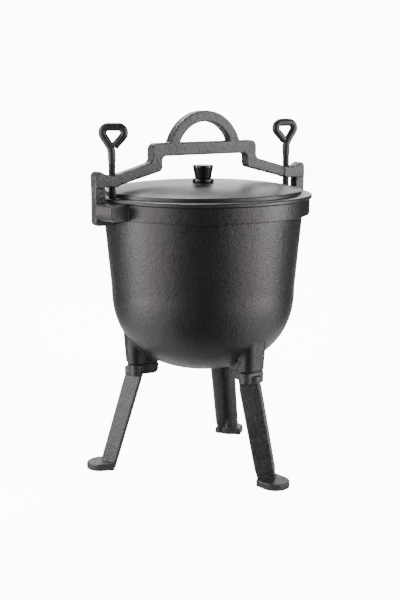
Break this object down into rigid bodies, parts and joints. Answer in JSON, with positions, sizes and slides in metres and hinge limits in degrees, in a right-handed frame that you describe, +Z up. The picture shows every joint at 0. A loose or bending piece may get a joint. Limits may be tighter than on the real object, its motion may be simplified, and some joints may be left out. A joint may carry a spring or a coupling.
{
  "type": "cast iron pot",
  "caption": "Cast iron campfire pot with a domed lid held down by a clamp yoke and looped screws, standing on socketed splayed legs.",
  "frame": {"origin": "on the pot's axis, at the floor the feet stand on", "axes": "+Z up along the pot's axis, X through the two ears, -Y towards one of the legs"},
  "size_m": [0.362, 0.3277, 0.5138],
  "materials": {
    "pot_iron": "seasoned, fine grain, semi-gloss",
    "lid_iron": "fine cast grain, satin",
    "yoke_iron": "rough cast, bare",
    "leg_iron": "rough cast, matt",
    "screw_steel": "dark oiled steel",
    "knob_plastic": "gloss"
  },
  "bodies": {
    "pot": {"pot": "pot_iron", "lid": "lid_iron", "knob_collar": "knob_plastic", "knob": "knob_plastic", "knob_screw": "screw_steel", "yoke": "yoke_iron", "front_leg": "leg_iron", "left_leg": "leg_iron", "right_leg": "leg_iron"},
    "left_clamp_screw": {"left_screw": "screw_steel"},
    "right_clamp_screw": {"right_screw": "screw_steel"}
  },
  "joints": [
    {"name": "left_screw_turn", "type": "hinge", "parent": "pot", "child": "left_clamp_screw", "pos_m": [-0.1456, 0.02363, 0.425], "axis": [0, 0, 1], "range_deg": [0, 1080]},
    {"name": "right_screw_turn", "type": "hinge", "parent": "pot", "child": "right_clamp_screw", "pos_m": [0.1456, -0.02363, 0.425], "axis": [0, 0, 1], "range_deg": [0, 1080]}
  ]
}
